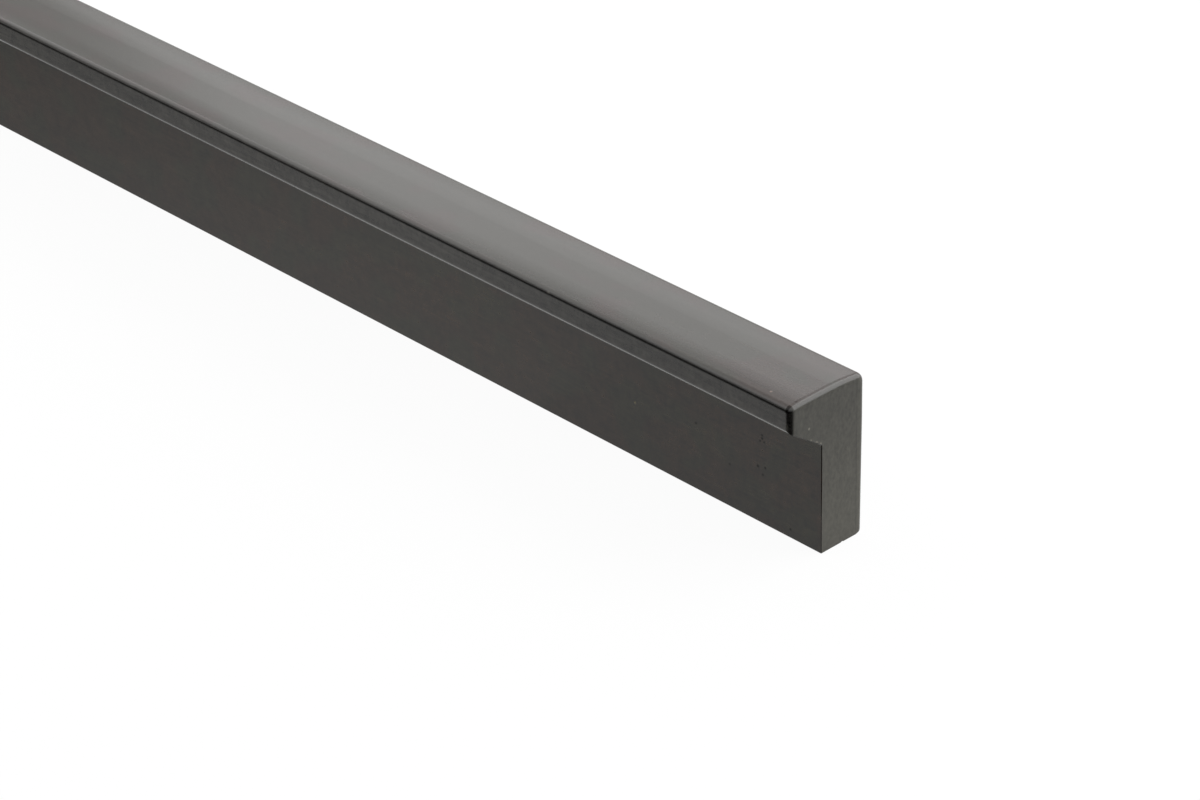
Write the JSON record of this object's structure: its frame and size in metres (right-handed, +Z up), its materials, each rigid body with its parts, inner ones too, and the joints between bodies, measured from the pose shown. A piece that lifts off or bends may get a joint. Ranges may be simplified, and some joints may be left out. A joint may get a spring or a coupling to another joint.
{
  "type": "handleless finger pull profile",
  "caption": "Straight bar with an inverted-L section: a flat body whose top lip overhangs the front as a finger grip, for the edge of a door or drawer front.",
  "frame": {"origin": "middle of the base: half the length, half the overall depth, at the bottom face", "axes": "+X along the bar, -Y the front that the lip overhangs, +Z up from the base to the top face"},
  "size_m": [0.3, 0.0228, 0.04],
  "materials": {
    "dark_satin": "dark anthracite satin, faintly streaked along the bar"
  },
  "bodies": {
    "root": {"finger_pull_profile": "dark_satin"}
  },
  "joints": []
}
